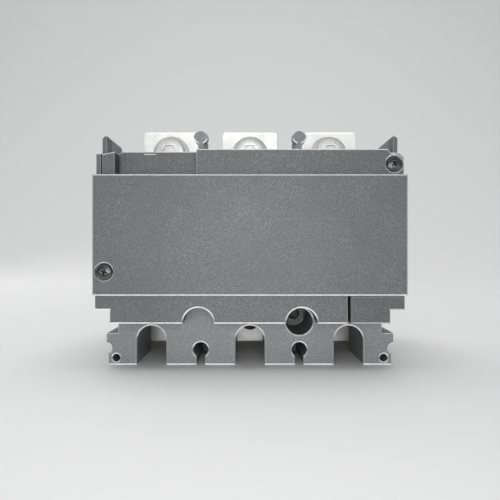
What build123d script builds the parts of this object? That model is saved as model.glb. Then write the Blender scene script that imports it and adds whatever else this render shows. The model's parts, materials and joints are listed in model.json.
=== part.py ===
"""Three-pole current-transformer module that bolts to the terminals of a moulded-case circuit breaker.

Frame: +X to the right, +Y to the back, +Z up, origin at the middle of the bottom of the bounding box.
Depths are counted in millimetres behind the face of the front cover.
"""

import os

from build123d import *

# ---- overall sizes ----------------------------------------------------------------------------------
pole_pitch = 35.0
body_side_gap = 0.3
body_depth = 86.0
deck_height = 75.0
wall = 3.0

# ---- front cover ------------------------------------------------------------------------------------
cover_bottom = 25.35
cover_height = 40.55
cover_thickness = 2.2
cover_rib_height = 3.0
cover_rib_wall = 1.2
cover_rib_gap = 0.4

# ---- front frame: the strip above the cover and the band below it ------------------------------------
band_depth = 2.5
strip_depth = 4.0
low_strip_depth = 9.0
low_strip_overlap = 0.7
low_strip_width = 27.6
ragged_start = 9.0
ragged_length = 4.0
ragged_depth = 0.8
rim_drop = 1.5
rim_width = 1.6
block_drop = 1.9
block_slant = 1.0
slot_width = 0.5
groove_inset = 0.2
groove_width = 1.2
boss_drop = 1.3
boss_width = 5.2
band_bottom = 15.8
shoulder_height = 20.4
shoulder_step = 4.9
notch_radius = 5.35
seam_inset = 2.0
seam_width = 1.0
cable_slot_inset = 5.0
cap_wall = 2.0

# ---- legs, tool arches and slide keyholes -----------------------------------------------------------
leg_depth = 12.7
leg_step = 1.3
leg_cut_length = 24.0
leg_pocket_bottom = 11.2
leg_pocket_inset = 5.5
leg_groove_radius = 2.0
leg_groove_height = 5.7
foot_step = 0.7
corner_bore_radius = 1.4
corner_bore_inset = 2.7
corner_bore_height = 2.45
corner_bore_length = 17.0
arch_width = 10.4
arch_spring = 8.7
tunnel_length = 28.3
terminal_side_gap = 0.95
terminal_height = 21.0
keyhole_radius = 2.72
keyhole_height = 5.3
keyhole_slot = 2.95
keyhole_length = 30.3
fixing_head_radius = 4.8
fixing_bore_radius = 2.6
fixing_height = 15.3

# ---- slide rails and ears on the deck -----------------------------------------------------------------
rail_radius = 2.5
rail_neck = 2.0
rail_rise = 5.95
rail_length = 23.0
rail_knob_length = 4.8
rail_fin_rise = 1.3
ear_thickness = 1.5
ear_inset = 1.85
ear_height = 4.6
ear_cut = 0.8
ear_back_cut = 3.0
ear_front = 5.0
ear_back = 30.0

# ---- inner layout -----------------------------------------------------------------------------------
split_depth = 62.0
bay_side_wall = 6.2
bay_bottom = 27.0
bay_top = 64.0
bay_floor_depth = 24.0
bay_floor_wall = 2.0
partition = 1.2
rear_wall = 4.0
rear_panel_width = 18.0
rear_panel_depth = 1.0

# ---- busbars ----------------------------------------------------------------------------------------
bar_width = 25.1
bar_thickness = 4.0
bar_front = 64.4
bar_bottom = 0.3
bar_corner = 1.6
bar_neck_inset = 1.0
bar_end_above_bolt = 10.0
lower_bolt_height = 9.7
bar_clearance = 0.5

# ---- terminal bolts, M8 -------------------------------------------------------------------------------
bolt_radius = 4.0
bolt_head_rim = 2.5
bolt_head_height = 5.0
bolt_length = 17.5
bolt_socket_flats = 6.0
bolt_socket_depth = 3.0
flat_washer_rim = 4.0
flat_washer_thickness = 1.4
spring_washer_rim = 2.9
spring_washer_thickness = 1.6
bolt_clearance = 0.25
washer_lift = 0.6
spring_slit = 1.2
nut_rim = 2.5
nut_height = 6.5
thread_clearance = 0.06
seat_gap = 0.05

# ---- current transformers -----------------------------------------------------------------------------
core_front = 34.0
core_length = 44.2
core_width = 27.8
core_limb = 5.2
core_height = 30.0
core_side_gap = 0.3
core_corner = 2.5
sleeve_wall = 0.7
sleeve_gap = 0.2
sleeve_end_inset = 7.0
bobbin_side_gap = 0.5
bobbin_flange = 0.9
bobbin_wall = 0.8
bobbin_gap = 0.2
winding_thickness = 4.0
winding_gap = 0.05
flange_rise = 0.6

# ---- secondary terminals ------------------------------------------------------------------------------
way_pitch = 10.0
ways_per_pole = 2
block_width = 62.0
block_height = 20.0
block_front = 3.5
block_back = 17.5
block_middle = 47.0
well_radius = 2.7
well_depth = 6.0
entry_size = 5.2
entry_depth = 10.0
clamp_wall = 0.6
clamp_gap = 0.1
clamp_length = 8.0
screw_row_rise = 4.0
entry_row_drop = 5.0
way_screw_radius = 2.4
way_screw_head = 1.6
way_shank_radius = 1.4
way_shank_length = 7.0
standoff_radius = 2.0
standoff_x = 20.0
standoff_rise = 7.5
lead_radius = 0.8
lead_half_spread = 4.0
lead_rise = 3.0
lead_bend = 0.9
lead_hole_radius = 1.3

# ---- small screws -------------------------------------------------------------------------------------
small_shank_radius = 1.5
small_head_radius = 2.7
small_head_height = 1.4
small_screw_length = 14.0
recess_width = 0.75
recess_length = 3.4
recess_depth = 0.9
clearance_radius = 1.8
counterbore_radius = 3.1
cover_screw_inset = 3.6
cover_screw_rise = 8.05
cover_screw_sink = 0.1
frame_screw_seat = 5.2
frame_screw_inset = 3.1
frame_screw_drop = 5.0
hidden_screw_rise = 3.5
hidden_screw_drop = 3.0
insert_radius = 2.4
insert_length = 6.0
rear_screw_inset = 3.2
rear_boss_radius = 3.5
rear_boss_length = 16.0
rear_screw_sink = 2.0
rear_screw_length = 33.0

# ---- fits and small edges -----------------------------------------------------------------------------
body_gap = 0.3
over = 1.0
soft_edge = 0.5
fine_edge = 0.3
moulded_edge = 0.4
flat_tolerance = 0.001

# ---- values worked out from the sizes above -----------------------------------------------------------
pole_names = ["left", "centre", "right"]
cover_width = len(pole_names) * pole_pitch
body_width = cover_width - 2 * body_side_gap
body_half = body_width / 2
pole_x = [-pole_pitch, 0.0, pole_pitch]
phase_x = [-pole_pitch / 2, pole_pitch / 2]
cover_top = cover_bottom + cover_height
low_strip_right = phase_x[0] - low_strip_overlap
shoulder_half = body_half - shoulder_step
seam_x = pole_pitch - seam_inset
leg_half = body_half - leg_step
foot_half = leg_half - foot_step
corner_bore_x = foot_half - corner_bore_inset
terminal_width = bar_width + 2 * terminal_side_gap
rail_height = deck_height + rail_rise
ear_centre = body_half - ear_inset - ear_thickness / 2
bay_half = body_half - bay_side_wall
bolt_hole_radius = bolt_radius + bolt_clearance
bolt_head_radius = bolt_radius + bolt_head_rim
flat_washer_radius = bolt_radius + flat_washer_rim
spring_washer_radius = bolt_radius + spring_washer_rim
nut_flats = 2 * (bolt_radius + nut_rim)
upper_bolt_height = deck_height + flat_washer_radius + washer_lift
bar_top = upper_bolt_height + bar_end_above_bolt
chamber_floor = terminal_height + wall
chamber_top = deck_height - wall
chamber_front = bay_floor_depth + bay_floor_wall
chamber_back = body_depth - rear_wall
chamber_half = body_half - wall
tunnel_end = leg_depth + tunnel_length
bar_back = bar_front + bar_thickness
bar_middle = bar_front + bar_thickness / 2
strip_left_end = low_strip_right - low_strip_width
strip_right_end = body_half - boss_width
rim_right = body_half - rim_width
window_width = core_width - 2 * core_limb
bar_neck_width = window_width - 2 * (core_side_gap + sleeve_wall + sleeve_gap)
bar_neck_bottom = chamber_floor - bar_neck_inset
bar_neck_top = chamber_top + bar_neck_inset
sleeve_bottom = chamber_floor + sleeve_end_inset
sleeve_top = chamber_top - sleeve_end_inset
bobbin_half = window_width / 2 - bobbin_side_gap
core_middle = (chamber_floor + chamber_top) / 2
bobbin_outer = core_limb + 2 * (bobbin_gap + bobbin_wall)
bobbin_outer_height = core_height + 2 * (bobbin_gap + bobbin_wall)
limb_depth = core_front + core_limb / 2
winding_front = limb_depth - bobbin_outer / 2 - winding_gap - winding_thickness
nut_back = bar_back + nut_height
washer_front = bar_front - seat_gap - flat_washer_thickness
spring_front = washer_front - spring_washer_thickness
head_back = spring_front - seat_gap
rear_screw_seat = body_depth - rear_screw_sink
rear_screw_tip = rear_screw_seat - rear_screw_length
rear_screw_x = chamber_half - rear_screw_inset
rear_screw_low = chamber_floor + rear_screw_inset
rear_screw_high = chamber_top - rear_screw_inset
rear_boss_front = split_depth - rear_boss_length
rear_screw_places = [(side * rear_screw_x, z) for side in (-1, 1) for z in (rear_screw_low, rear_screw_high)]
frame_screw_x = body_half - frame_screw_inset
frame_screw_places = [
    (frame_screw_x, deck_height - frame_screw_drop),
    (frame_screw_x, bay_bottom + hidden_screw_rise),
    (-frame_screw_x, bay_top - hidden_screw_drop),
]
cover_screw_x = cover_screw_inset - body_half
cover_screw_height = cover_bottom + cover_screw_rise
cover_counterbore_depth = cover_screw_sink + small_head_height
cover_screw_seat = cover_counterbore_depth - seat_gap


def facing_front(depth: float, x: float = 0.0, z: float = 0.0) -> Plane:
    """Return an upright plane at a depth, facing the front, with its centre at x and z."""
    return Plane(origin=(x, depth - body_depth / 2, z), x_dir=(1, 0, 0), z_dir=(0, -1, 0))


def facing_up(z: float, x: float = 0.0, depth: float = body_depth / 2) -> Plane:
    """Return a level plane at height z, with its centre at x and a depth."""
    return Plane(origin=(x, depth - body_depth / 2, z), x_dir=(1, 0, 0), z_dir=(0, 0, 1))


def facing_right(x: float, depth: float, z: float) -> Plane:
    """Return a plane across the body at x, with its centre at a depth and height."""
    return Plane(origin=(x, depth - body_depth / 2, z), x_dir=(0, 1, 0), z_dir=(1, 0, 0))


def panel(left: float, right: float, bottom: float, top: float) -> None:
    """Add a rectangle given by its four edges to the sketch being drawn."""
    with Locations(((left + right) / 2, (bottom + top) / 2)):
        Rectangle(right - left, top - bottom)


def body_outline() -> None:
    """Add the front view of the body: a block, with slightly narrower legs below its shoulders."""
    panel(-body_half, body_half, shoulder_height, deck_height)
    panel(-leg_half, leg_half, 0, shoulder_height)


def ear_points(side: int, bottom: float) -> list[tuple[float, float]]:
    """Return the front view of an ear, from a bottom height up, with its outer top corner cut."""
    inner = side * (ear_centre - ear_thickness / 2)
    outer = side * (ear_centre + ear_thickness / 2)
    top = deck_height + ear_height
    return [(inner, bottom), (inner, top), (outer - side * ear_cut, top), (outer, top - ear_cut), (outer, bottom)]


def chamber_outline() -> None:
    """Add the three transformer chambers, which thin partitions keep apart."""
    inner = pole_pitch / 2 - partition / 2
    panel(-inner, inner, chamber_floor, chamber_top)
    for side in (-1, 1):
        near = side * (pole_pitch / 2 + partition / 2)
        far = side * chamber_half
        panel(min(near, far), max(near, far), chamber_floor, chamber_top)


def terminal_outline() -> None:
    """Add the three terminal compartments, open at the bottom."""
    for x in pole_x:
        panel(x - terminal_width / 2, x + terminal_width / 2, -over, terminal_height)


def front_edges(part: BuildPart, depth: float) -> ShapeList:
    """Return the edges of a part that lie in the plane at this depth, without the very short ones."""
    y = depth - body_depth / 2
    edges = part.edges().filter_by_position(Axis.Y, y - flat_tolerance, y + flat_tolerance)
    return edges.filter_by(lambda edge: edge.bounding_box().size.Y < flat_tolerance and edge.length > over)


def is_softened(edge: Edge) -> bool:
    """Tell whether an edge belongs to the rails, legs, arches and bores, away from the outer cut-outs."""
    middle = edge.bounding_box().center()
    on_rail = middle.Z > deck_height and abs(middle.X) < pole_pitch
    on_leg = middle.Z < band_bottom and abs(middle.X) < bay_half
    near_foot = middle.Z < corner_bore_height + over and abs(middle.X) < foot_half - over
    return on_rail or on_leg or near_foot


def save(part: BuildPart, name: str) -> None:
    """Label a finished piece and write it under its node name."""
    part.part.label = name
    export_step(part.part, f"parts/{name}.step")


os.makedirs("parts", exist_ok=True)

# ---- main housing: legs, tool arches, transformer chambers, deck, rails and ears ------------------------
with BuildPart() as main_housing:
    with BuildSketch(facing_front(split_depth)):
        body_outline()
    extrude(amount=split_depth - leg_depth)

    # ears and slide rails on the deck
    for side in (-1, 1):
        with BuildSketch(facing_front(ear_back)):
            with BuildLine():
                Polyline(*ear_points(side, deck_height - over), close=True)
            make_face()
        extrude(amount=ear_back - leg_depth)
    ear_ends = main_housing.edges().filter_by(Axis.X).group_by(Axis.Z)[-1].group_by(Axis.Y)[-1]
    chamfer(ear_ends, length=ear_back_cut)
    with BuildSketch(facing_front(leg_depth + rail_length)):
        for x in phase_x:
            panel(x - rail_neck / 2, x + rail_neck / 2, deck_height - over, rail_height + rail_fin_rise)
            with Locations((x, rail_height + rail_fin_rise)):
                Circle(rail_neck / 2)
    extrude(amount=rail_length)
    with BuildSketch(facing_front(leg_depth + rail_knob_length)):
        with Locations([(x, rail_height) for x in phase_x]):
            Circle(rail_radius)
    extrude(amount=rail_knob_length)

    # bay for the secondary terminals, and the chambers for the transformers behind it
    with BuildSketch(facing_front(bay_floor_depth)):
        panel(-bay_half, bay_half, bay_bottom, bay_top)
    extrude(amount=bay_floor_depth - leg_depth + over, mode=Mode.SUBTRACT)
    with BuildSketch(facing_front(split_depth)):
        chamber_outline()
    extrude(amount=split_depth - chamber_front, mode=Mode.SUBTRACT)

    # tongues that close the bar slots of the rear base from the front
    for x in pole_x:
        half = bar_width / 2
        with BuildSketch(facing_front(bar_front - body_gap)):
            panel(x - half, x + half, chamber_top + fine_edge, deck_height)
            panel(x - half, x + half, terminal_height, chamber_floor - fine_edge)
        extrude(amount=bar_front - body_gap - split_depth + over)

    # tool arches in front, wider terminal compartments behind
    with BuildSketch(facing_front(tunnel_end)):
        for x in pole_x:
            panel(x - arch_width / 2, x + arch_width / 2, -over, arch_spring)
            with Locations((x, arch_spring)):
                Circle(arch_width / 2)
    extrude(amount=tunnel_length + over, mode=Mode.SUBTRACT)
    with BuildSketch(facing_front(split_depth)):
        terminal_outline()
    extrude(amount=split_depth - tunnel_end, mode=Mode.SUBTRACT)

    # keyholes for the slide rails of the next device
    with BuildSketch(facing_front(leg_depth + keyhole_length)):
        for x in phase_x:
            panel(x - keyhole_slot / 2, x + keyhole_slot / 2, -over, keyhole_height)
            with Locations((x, keyhole_height)):
                Circle(keyhole_radius)
    extrude(amount=keyhole_length + over, mode=Mode.SUBTRACT)

    # fixing hole on the right: a wide bore for the screw head, a narrow one for its shank
    with BuildSketch(facing_front(tunnel_end, phase_x[1], fixing_height)):
        Circle(fixing_head_radius)
    extrude(amount=tunnel_length + over, mode=Mode.SUBTRACT)
    with BuildSketch(facing_front(split_depth, phase_x[1], fixing_height)):
        Circle(fixing_bore_radius)
    extrude(amount=split_depth - tunnel_end + over, mode=Mode.SUBTRACT)

    # cut-outs, side grooves and small bores of the outer legs
    for side in (-1, 1):
        with BuildSketch(facing_front(leg_depth + leg_cut_length)):
            outer = side * (body_half + over)
            for inner, bottom, top in (
                (side * (body_half - leg_pocket_inset), leg_pocket_bottom, shoulder_height),
                (side * foot_half, -over, leg_groove_height - leg_groove_radius),
            ):
                panel(min(inner, outer), max(inner, outer), bottom, top)
            with Locations((side * leg_half, leg_groove_height)):
                Circle(leg_groove_radius)
        extrude(amount=leg_cut_length + over, mode=Mode.SUBTRACT)
        with BuildSketch(facing_front(leg_depth + corner_bore_length, side * corner_bore_x, corner_bore_height)):
            Circle(corner_bore_radius)
        extrude(amount=corner_bore_length + over, mode=Mode.SUBTRACT)

    # bosses for the rear screws
    with BuildSketch(facing_front(split_depth)):
        with Locations(*rear_screw_places):
            Circle(rear_boss_radius)
    extrude(amount=split_depth - rear_boss_front)
    with BuildSketch(facing_front(split_depth)):
        with Locations(*rear_screw_places):
            Circle(small_shank_radius)
    extrude(amount=split_depth - rear_screw_tip + body_gap, mode=Mode.SUBTRACT)

    # standoffs for the terminal block, and lead holes in the wall behind it
    with BuildSketch(facing_front(bay_floor_depth)):
        with Locations([(sx * standoff_x, block_middle + sz * standoff_rise) for sx in (-1, 1) for sz in (-1, 1)]):
            Circle(standoff_radius)
    extrude(amount=bay_floor_depth - block_back)
    with BuildSketch(facing_front(chamber_front)):
        for x in pole_x:
            for step in (-1, 1):
                with Locations((x + step * lead_half_spread, block_middle + step * lead_rise)):
                    Circle(lead_hole_radius)
    extrude(amount=bay_floor_wall, mode=Mode.SUBTRACT)

    # screw holes in the front face: pilot holes for the frame, a seat for the cover's insert
    with BuildSketch(facing_front(leg_depth)):
        with Locations(*frame_screw_places):
            Circle(small_shank_radius)
    extrude(amount=-(frame_screw_seat + small_screw_length + body_gap - leg_depth), mode=Mode.SUBTRACT)
    with BuildSketch(facing_front(leg_depth, cover_screw_x, cover_screw_height)):
        Circle(insert_radius)
    extrude(amount=-insert_length, mode=Mode.SUBTRACT)
    chamfer(front_edges(main_housing, leg_depth).filter_by(is_softened), length=moulded_edge)
save(main_housing, "main_housing")

# ---- front frame: strip above the cover, band below it, ring around the terminal bay ---------------------
with BuildPart() as front_frame:
    with BuildSketch(facing_front(leg_depth)):
        panel(-body_half, body_half, shoulder_height, deck_height)
        panel(-shoulder_half, shoulder_half, band_bottom, shoulder_height)
    extrude(amount=leg_depth - band_depth)
    # the strip stands a little behind the band
    with BuildSketch(facing_front(strip_depth)):
        panel(-cover_width, cover_width, cover_top - body_gap, deck_height + over)
    extrude(amount=strip_depth - band_depth + over, mode=Mode.SUBTRACT)
    # its left part is set back further, and a ragged notch breaks its top edge
    with BuildSketch(facing_front(low_strip_depth)):
        panel(strip_left_end, low_strip_right, cover_top - body_gap, deck_height + over)
    extrude(amount=low_strip_depth, mode=Mode.SUBTRACT)
    with BuildSketch(facing_front(low_strip_depth + over)):
        ragged_left = strip_left_end + ragged_start
        panel(ragged_left, ragged_left + ragged_length, deck_height - ragged_depth, deck_height + over)
    extrude(amount=low_strip_depth, mode=Mode.SUBTRACT)
    # left end: a low rim, a narrow slot, a block with a slanted top, and a groove
    with BuildSketch(facing_front(leg_depth)):
        panel(-body_half - over, -rim_right, deck_height - rim_drop, deck_height + over)
        with BuildLine():
            Polyline(
                (-rim_right, deck_height - block_drop),
                (strip_left_end - groove_inset, deck_height - block_drop + block_slant),
                (strip_left_end - groove_inset, deck_height + over),
                (-rim_right, deck_height + over),
                close=True,
            )
        make_face()
    extrude(amount=leg_depth, mode=Mode.SUBTRACT)
    with BuildSketch(facing_front(leg_depth - over)):
        panel(-rim_right, -rim_right + slot_width, cover_top, deck_height)
        panel(strip_left_end - groove_inset, strip_left_end + groove_width, cover_top, deck_height)
    extrude(amount=leg_depth, mode=Mode.SUBTRACT)
    # right end: the strip drops to the screw boss, with a cut outer corner
    with BuildSketch(facing_front(leg_depth)):
        boss_top = deck_height - boss_drop
        with BuildLine():
            Polyline(
                (strip_right_end, deck_height + over),
                (strip_right_end, deck_height),
                (strip_right_end + boss_drop / 2, boss_top),
                (body_half - boss_drop, boss_top),
                (body_half + over, boss_top - boss_drop - over),
                (body_half + over, deck_height + over),
                close=True,
            )
        make_face()
    extrude(amount=leg_depth, mode=Mode.SUBTRACT)
    # front ends of the ears
    for side in (-1, 1):
        with BuildSketch(facing_front(leg_depth)):
            with BuildLine():
                Polyline(*ear_points(side, deck_height - wall), close=True)
            make_face()
        extrude(amount=leg_depth - ear_front)
    # opening of the terminal bay
    with BuildSketch(facing_front(leg_depth)):
        panel(-bay_half, bay_half, bay_bottom, bay_top)
    extrude(amount=leg_depth, mode=Mode.SUBTRACT)
    # corner that the connector cap fills, and the cable slot above it
    with BuildSketch(facing_front(leg_depth)):
        panel(seam_x, body_width, 0, cover_bottom)
        panel(seam_x + cable_slot_inset, bay_half - wall, cover_bottom - over, bay_bottom + over)
    extrude(amount=leg_depth, mode=Mode.SUBTRACT)
    # round notches in the lower edge of the band
    with BuildSketch(facing_front(leg_depth)):
        with Locations([(x, band_bottom) for x in phase_x]):
            Circle(notch_radius)
    extrude(amount=leg_depth, mode=Mode.SUBTRACT)
    # hollows behind the band, between the notches
    with BuildSketch(facing_front(leg_depth)):
        hollow_top = bay_bottom - wall
        inner = phase_x[1] - notch_radius - wall
        outer = phase_x[1] + notch_radius + wall
        panel(-inner, inner, band_bottom + wall, hollow_top)
        panel(outer, seam_x - wall, band_bottom + wall, hollow_top)
        panel(-shoulder_half + wall, -outer, band_bottom + wall, hollow_top)
    extrude(amount=leg_depth - band_depth - wall, mode=Mode.SUBTRACT)
    # screw holes
    with BuildSketch(facing_front(leg_depth)):
        with Locations(*frame_screw_places, (cover_screw_x, cover_screw_height)):
            Circle(clearance_radius)
    extrude(amount=leg_depth, mode=Mode.SUBTRACT)
    with BuildSketch(facing_front(frame_screw_seat)):
        with Locations(*frame_screw_places):
            Circle(counterbore_radius)
    extrude(amount=frame_screw_seat, mode=Mode.SUBTRACT)
    # softened edges below the cover and along the top of the strip
    below = front_edges(front_frame, band_depth).filter_by_position(Axis.Z, 0, cover_bottom - over)
    near_top = (deck_height - 2 * over, deck_height + over)
    above = front_edges(front_frame, strip_depth).filter_by_position(Axis.Z, *near_top)
    set_back = front_edges(front_frame, low_strip_depth).filter_by_position(Axis.Z, *near_top)
    chamfer(below, length=moulded_edge)
    chamfer(above + set_back, length=fine_edge)
save(front_frame, "front_frame")

# ---- connector cap: the separate right-hand end of the band, slides down off its cable slot ---------------
with BuildPart() as connector_cap:
    cap_left = seam_x + seam_width
    cap_back = leg_depth - body_gap
    cap_top = cover_bottom - body_gap
    with BuildSketch(facing_front(cap_back)):
        panel(cap_left, body_half, shoulder_height, cap_top)
        panel(cap_left, shoulder_half, band_bottom, shoulder_height + over)
    extrude(amount=cap_back - band_depth)
    with BuildSketch(facing_front(cap_back)):
        panel(cap_left + cap_wall, shoulder_half - cap_wall, band_bottom + cap_wall, cap_top + over)
    extrude(amount=cap_back - band_depth - cap_wall, mode=Mode.SUBTRACT)
    chamfer(front_edges(connector_cap, band_depth), length=moulded_edge)
save(connector_cap, "connector_cap")

# ---- front cover -------------------------------------------------------------------------------------------
with BuildPart() as front_cover:
    with BuildSketch(facing_front(cover_thickness)):
        panel(-cover_width / 2, cover_width / 2, cover_bottom, cover_top)
    extrude(amount=cover_thickness)
    front_edges = front_cover.faces().sort_by(Axis.Y)[0].edges()
    chamfer(front_edges, length=soft_edge)
    # locating rib inside the opening of the bay
    with BuildSketch(facing_front(cover_thickness + cover_rib_height)):
        rib_half = bay_half - cover_rib_gap
        panel(-rib_half, rib_half, bay_bottom + cover_rib_gap, bay_top - cover_rib_gap)
        inset = cover_rib_gap + cover_rib_wall
        with Locations((0, (bay_bottom + bay_top) / 2)):
            Rectangle(2 * (bay_half - inset), bay_top - bay_bottom - 2 * inset, mode=Mode.SUBTRACT)
    extrude(amount=cover_rib_height)
    with BuildSketch(facing_front(cover_thickness, cover_screw_x, cover_screw_height)):
        Circle(clearance_radius)
    extrude(amount=cover_thickness, mode=Mode.SUBTRACT)
    with BuildSketch(facing_front(cover_counterbore_depth, cover_screw_x, cover_screw_height)):
        Circle(counterbore_radius)
    extrude(amount=cover_counterbore_depth, mode=Mode.SUBTRACT)
save(front_cover, "front_cover")


def make_small_screws(places: list[tuple], seat: float, length: float, towards: int = 1) -> BuildPart:
    """Return cross-recess pan-head screws, one at each place.

    Args:
        places: x and z of each screw.
        seat: depth of the face under the heads.
        length: shank length under the head.
        towards: 1 for heads on the front side, -1 for heads on the rear side.
    """
    top = seat - towards * small_head_height
    with BuildPart() as screws:
        with BuildSketch(facing_front(seat)):
            with Locations(*places):
                Circle(small_head_radius)
        extrude(amount=towards * small_head_height)
        rims = screws.edges().filter_by(GeomType.CIRCLE)
        fillet(rims.sort_by(Axis.Y, reverse=towards < 0)[: len(places)], radius=soft_edge)
        with BuildSketch(facing_front(seat)):
            with Locations(*places):
                Circle(small_shank_radius)
        extrude(amount=-towards * length)
        with BuildSketch(facing_front(top)):
            with Locations(*places):
                Rectangle(recess_length, recess_width)
                Rectangle(recess_width, recess_length)
        extrude(amount=-towards * recess_depth, mode=Mode.SUBTRACT)
    return screws


cover_screw_place = [(cover_screw_x, cover_screw_height)]
save(make_small_screws(cover_screw_place, cover_screw_seat, small_screw_length), "cover_screw")
save(make_small_screws(frame_screw_places, frame_screw_seat, small_screw_length), "frame_screws")

with BuildPart() as cover_insert:
    with BuildSketch(facing_front(leg_depth + insert_length, cover_screw_x, cover_screw_height)):
        Circle(insert_radius)
        Circle(small_shank_radius + thread_clearance, mode=Mode.SUBTRACT)
    extrude(amount=insert_length)
save(cover_insert, "cover_insert")

# ---- rear base -----------------------------------------------------------------------------------------------
with BuildPart() as rear_base:
    with BuildSketch(facing_front(body_depth)):
        body_outline()
    extrude(amount=body_depth - split_depth)
    with BuildSketch(facing_front(chamber_back)):
        chamber_outline()
        terminal_outline()
    extrude(amount=chamber_back - split_depth, mode=Mode.SUBTRACT)
    # slots for the bars in the deck and in the chamber floor
    with BuildSketch(facing_front(bar_back + bar_clearance)):
        for x in pole_x:
            half = bar_width / 2 + bar_clearance
            panel(x - half, x + half, chamber_top - over, deck_height + over)
            panel(x - half, x + half, terminal_height - over, chamber_floor + over)
    extrude(amount=bar_back + bar_clearance - split_depth, mode=Mode.SUBTRACT)
    # shallow panels in the rear wall
    with BuildSketch(facing_front(body_depth)):
        for x in pole_x:
            panel(x - rear_panel_width / 2, x + rear_panel_width / 2, chamber_floor + wall, chamber_top - wall)
    extrude(amount=rear_panel_depth, mode=Mode.SUBTRACT)
    # screw bosses
    with BuildSketch(facing_front(body_depth)):
        with Locations(*rear_screw_places):
            Circle(rear_boss_radius)
    extrude(amount=body_depth - split_depth)
    with BuildSketch(facing_front(body_depth)):
        with Locations(*rear_screw_places):
            Circle(clearance_radius)
        with Locations((phase_x[1], fixing_height)):
            Circle(fixing_bore_radius)
    extrude(amount=body_depth - split_depth, mode=Mode.SUBTRACT)
    with BuildSketch(facing_front(body_depth)):
        with Locations(*rear_screw_places):
            Circle(counterbore_radius)
    extrude(amount=body_depth - rear_screw_seat, mode=Mode.SUBTRACT)
save(rear_base, "rear_base")

save(make_small_screws(rear_screw_places, rear_screw_seat, rear_screw_length, towards=-1), "rear_screws")


# ---- pieces of each pole ---------------------------------------------------------------------------------------
def make_busbar(x: float) -> BuildPart:
    """Return a plated bar that narrows where it passes through the transformer."""
    with BuildPart() as bar:
        with BuildSketch(facing_front(bar_back, x)):
            panel(-bar_width / 2, bar_width / 2, bar_bottom, bar_top)
            for side in (-1, 1):
                inner = side * bar_neck_width / 2
                outer = side * bar_width
                with Locations(((inner + outer) / 2, (bar_neck_bottom + bar_neck_top) / 2)):
                    Rectangle(bar_width - bar_neck_width / 2, bar_neck_top - bar_neck_bottom, mode=Mode.SUBTRACT)
            with Locations((0, lower_bolt_height), (0, upper_bolt_height)):
                Circle(bolt_hole_radius, mode=Mode.SUBTRACT)
        extrude(amount=bar_thickness)
        corners = bar.edges().filter_by(Axis.Y).filter_by(GeomType.LINE)
        end_corners = corners.group_by(Axis.Z)[0] + corners.group_by(Axis.Z)[-1]
        fillet(end_corners, radius=bar_corner)
        chamfer(bar.faces().sort_by(Axis.Y)[0].outer_wire().edges(), length=fine_edge)
    return bar


def make_sleeve(x: float) -> BuildPart:
    """Return the insulating tube around the neck of a bar."""
    inner_x = bar_neck_width + 2 * sleeve_gap
    inner_y = bar_thickness + 2 * sleeve_gap
    with BuildPart() as sleeve:
        with BuildSketch(facing_up(sleeve_bottom, x, bar_middle)):
            Rectangle(inner_x + 2 * sleeve_wall, inner_y + 2 * sleeve_wall)
            Rectangle(inner_x, inner_y, mode=Mode.SUBTRACT)
        extrude(amount=sleeve_top - sleeve_bottom)
    return sleeve


def make_core(x: float) -> BuildPart:
    """Return the wound strip core, a rounded ring that stands around the neck of a bar."""
    with BuildPart() as core:
        with BuildSketch(facing_up(core_middle - core_height / 2, x, core_front + core_length / 2)):
            RectangleRounded(core_width, core_length, core_corner)
            RectangleRounded(window_width, core_length - 2 * core_limb, fine_edge, mode=Mode.SUBTRACT)
        extrude(amount=core_height)
    return core


def make_bobbin(x: float) -> BuildPart:
    """Return the moulded bobbin around the front limb of a core."""
    flange_grow = 2 * (winding_gap + winding_thickness + flange_rise)
    with BuildPart() as bobbin:
        with BuildSketch(facing_right(x - bobbin_half, limb_depth, core_middle)):
            Rectangle(bobbin_outer, bobbin_outer_height)
        extrude(amount=2 * bobbin_half)
        for start in (x - bobbin_half, x + bobbin_half - bobbin_flange):
            with BuildSketch(facing_right(start, limb_depth, core_middle)):
                RectangleRounded(bobbin_outer + flange_grow, bobbin_outer_height + flange_grow, winding_thickness)
            extrude(amount=bobbin_flange)
        with BuildSketch(facing_right(x - bobbin_half, limb_depth, core_middle)):
            Rectangle(core_limb + 2 * bobbin_gap, core_height + 2 * bobbin_gap)
        extrude(amount=2 * bobbin_half, mode=Mode.SUBTRACT)
    return bobbin


def make_winding(x: float) -> BuildPart:
    """Return the secondary winding as one closed coil between the flanges of its bobbin."""
    half = bobbin_half - bobbin_flange - winding_gap
    inner_depth = bobbin_outer + 2 * winding_gap
    inner_height = bobbin_outer_height + 2 * winding_gap
    with BuildPart() as winding:
        with BuildSketch(facing_right(x - half, limb_depth, core_middle)):
            RectangleRounded(
                inner_depth + 2 * winding_thickness,
                inner_height + 2 * winding_thickness,
                winding_thickness - fine_edge,
            )
            Rectangle(inner_depth, inner_height, mode=Mode.SUBTRACT)
        extrude(amount=2 * half)
    return winding


def way_places(pole: int) -> list[float]:
    """Return the places across the body of the two terminals of one pole."""
    middle = (pole - 1) * ways_per_pole * way_pitch
    return [middle - way_pitch / 2, middle + way_pitch / 2]


def make_leads(pole: int) -> BuildPart:
    """Return the two insulated leads from a winding to its terminals."""
    with BuildPart() as leads:
        for step, way_x in zip((-1, 1), way_places(pole)):
            start_x = pole_x[pole] + step * lead_half_spread
            height = block_middle + step * lead_rise
            start = (start_x, winding_front - body_depth / 2, height)
            bend_back = (start_x, bay_floor_depth - over - body_depth / 2, height)
            bend_front = (way_x, block_back + over + lead_radius - body_depth / 2, height)
            end = (way_x, block_back - body_depth / 2, height)
            with BuildLine():
                FilletPolyline(start, bend_back, bend_front, end, radius=lead_bend)
            with BuildSketch(Plane(origin=start, x_dir=(1, 0, 0), z_dir=(0, -1, 0))):
                Circle(lead_radius)
            sweep()
    return leads


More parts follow.
